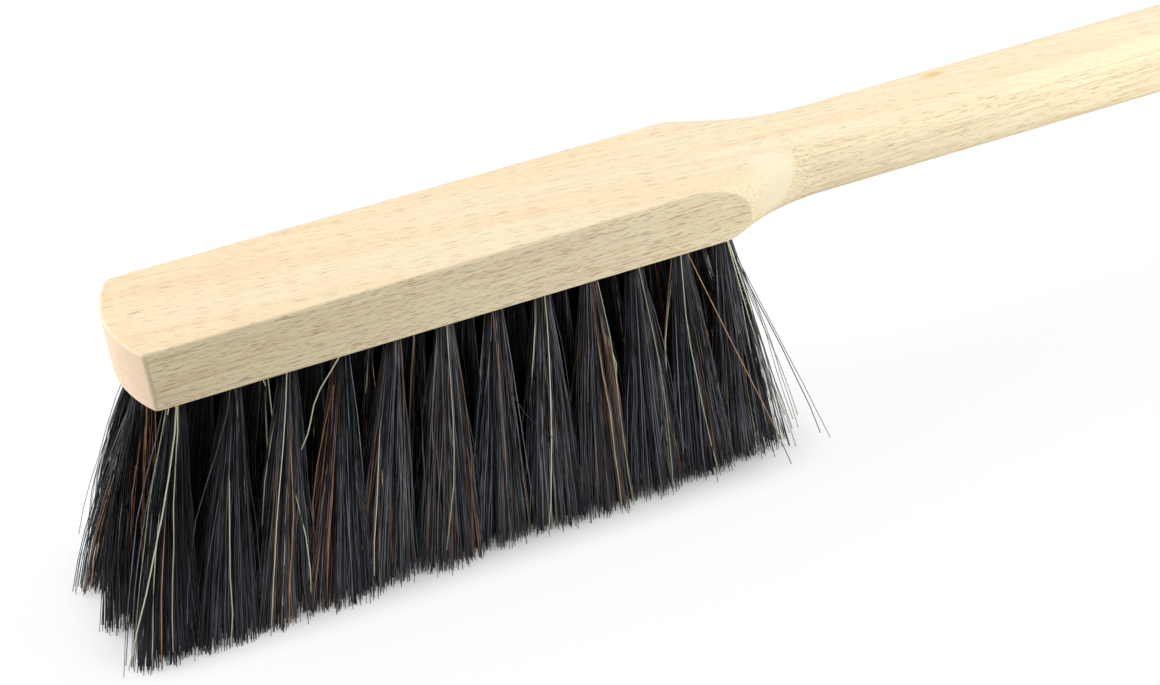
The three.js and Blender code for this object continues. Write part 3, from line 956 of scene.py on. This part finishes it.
# %% Splinters
SPLINTER_RADIUS = 0.22 * MM
SPLINTER_INSET, SPLINTER_BITE, SPLINTER_OUT = 0.5, 0.4, 0.9
splinters = []
for x, fall, tilt in ((3.6, 1.5, -0.9), (5.2, 1.0, 0.6), (30.6, 1.6, 0.2)):
    start = np.array((toe_line + x * MM, -side + SPLINTER_INSET * MM, underside + SPLINTER_BITE * MM))
    end = start + np.array((tilt, -SPLINTER_OUT, -fall - SPLINTER_BITE)) * MM
    splinters.append(start + (end - start) * np.linspace(0, 1, POINTS)[:, None])
radii = np.full(len(splinters), SPLINTER_RADIUS)
fibre_piece("splinters", splinters, radii, np.zeros(len(splinters)), beech)
bpy.data.objects.remove(profile)

# %% [markdown]
# ## Anchors
# The flat wire anchors sit deep in the holes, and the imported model's own solids are right for them. They
# only need a finish: drawn wire with a thin zinc coat, dull, with fine lines along the wire.

# %% Zinc-coated wire
DRAWN_LINE, BLOOM = (4, 0.15, 0.15), (1.2, 1.2, 1.2)
WIRE_TURN = (0, 0, math.radians(-45))
zinc_wire, sheet = new_material("zinc_wire")
drawn = noise(sheet, stretched(sheet, DRAWN_LINE, WIRE_TURN), 3.0, 0.6)
bloom = noise(sheet, stretched(sheet, BLOOM), 2.0, 0.5)
colour = mixed(sheet, soft_step(sheet, bloom, 0.35, 0.7), srgb(150, 152, 155), srgb(186, 188, 190))
finish_material(sheet, {"Base Color": colour, "Metallic": 1.0, "Roughness": 0.3 + 0.25 * drawn})
anchors = [node for name, node in frame["nodes"].items() if name.startswith("anchor_")]
for anchor in anchors:
    anchor.data.materials.clear()
    anchor.data.materials.append(zinc_wire)
print(len(anchors), "anchors in zinc-coated wire")

# %% [markdown]
# ## Studio
# The brush stands on a white table under a wide soft light. The camera sees the open table nearly white,
# as in a bright studio, and the brush's own soft shadow is kept. Under the tufts the table is left as
# plain paint, so it goes dark there.

# %% Floor
TABLE_SIZE = 8
TUFTS_MIDDLE = toe_line + 78 * MM
OPEN_GLOW = 0.92


def background_rays(sheet):
    """1 for what the camera sees, straight or by way of metal or glass, and 0 for other rays."""
    seen = sheet.node("ShaderNodeLightPath", output="Is Camera Ray")
    mirrored = sheet.node("ShaderNodeLightPath", output="Is Glossy Ray")
    through = sheet.node("ShaderNodeLightPath", output="Is Transmission Ray")
    return seen + mirrored + through


start_clean()
bpy.ops.mesh.primitive_plane_add(size=TABLE_SIZE, location=(0, 0, 0))
floor = bpy.context.object
floor.name = "table"
bpy.ops.object.transform_apply(location=True, rotation=True, scale=True)
table_white, sheet = new_material("table_white")
place = object_place(sheet)
along = abs(part_of(sheet, place, "X") - TUFTS_MIDDLE)
across = abs(part_of(sheet, place, "Y"))
under = soft_step(sheet, along, 85 * MM, 125 * MM, 1.0, 0.0)
under = under * soft_step(sheet, across, 24 * MM, 52 * MM, 1.0, 0.0)
glow = sheet.node("ShaderNodeEmission", None, {"Color": (1, 1, 1, 1), "Strength": 1.0})
bright = sheet.node("ShaderNodeBsdfDiffuse", None, {"Color": srgb(249, 254, 253)})
plain = sheet.node("ShaderNodeBsdfDiffuse", None, {"Color": srgb(194, 194, 194)})
shown = sheet.node("ShaderNodeMixShader", None, {0: OPEN_GLOW * (1 - under), 1: bright, 2: glow})
surface = sheet.node("ShaderNodeMixShader", None, {0: background_rays(sheet), 1: plain, 2: shown})
sheet.node("ShaderNodeOutputMaterial", None, {"Surface": surface})
floor.data.materials.append(table_white)
print("table", [round(v, 2) for v in floor.dimensions], "m")

# %% [markdown]
# One large light overhead, a little behind the brush, makes the top bright and leaves the near side in
# soft shade. A weaker one on the left lights the toe, and one near the handle brightens the near side
# towards the right. The room is white to look at and dim as a light.

# %% Lights
ROOM_LIGHT = 0.05


def soft_light(name, place, aim_at, size, power, spread=180):
    """A rectangular light aimed at a point, with its power in W and its spread in degrees."""
    light = bpy.data.lights.new(name, "AREA")
    light.shape = "RECTANGLE"
    light.size, light.size_y = size
    light.energy = power
    light.spread = math.radians(spread)
    holder = bpy.data.objects.new(name, light)
    bpy.context.scene.collection.objects.link(holder)
    look = (Vector(aim_at) - Vector(place)).to_track_quat("-Z", "Y").to_matrix().to_4x4()
    holder.matrix_world = Matrix.Translation(place) @ look


soft_light("overhead_light", (0.03, 0.35, 1.2), (0, 0, 0.05), (1.4, 1.0), 13.5)
soft_light("toe_light", (-1.0, 0.35, 0.3), (-0.2, 0, 0.08), (0.5, 0.5), 8.0)
soft_light("handle_light", (0.4, -0.54, 0.25), (0.22, 0, 0.08), (0.35, 0.35), 2.55, 150)

world = bpy.data.worlds.new("studio")
bpy.context.scene.world = world
world.use_nodes = True
world.node_tree.nodes.clear()
sheet = Wire(world.node_tree)
dim = sheet.node("ShaderNodeBackground", None, {"Color": (1, 1, 1, 1), "Strength": ROOM_LIGHT})
white = sheet.node("ShaderNodeBackground", None, {"Color": (1, 1, 1, 1), "Strength": 1.0})
surface = sheet.node("ShaderNodeMixShader", None, {0: background_rays(sheet), 1: dim, 2: white})
sheet.node("ShaderNodeOutputWorld", None, {"Surface": surface})
bpy.context.scene.view_settings.view_transform = "Standard"
print("three lights and a white room")
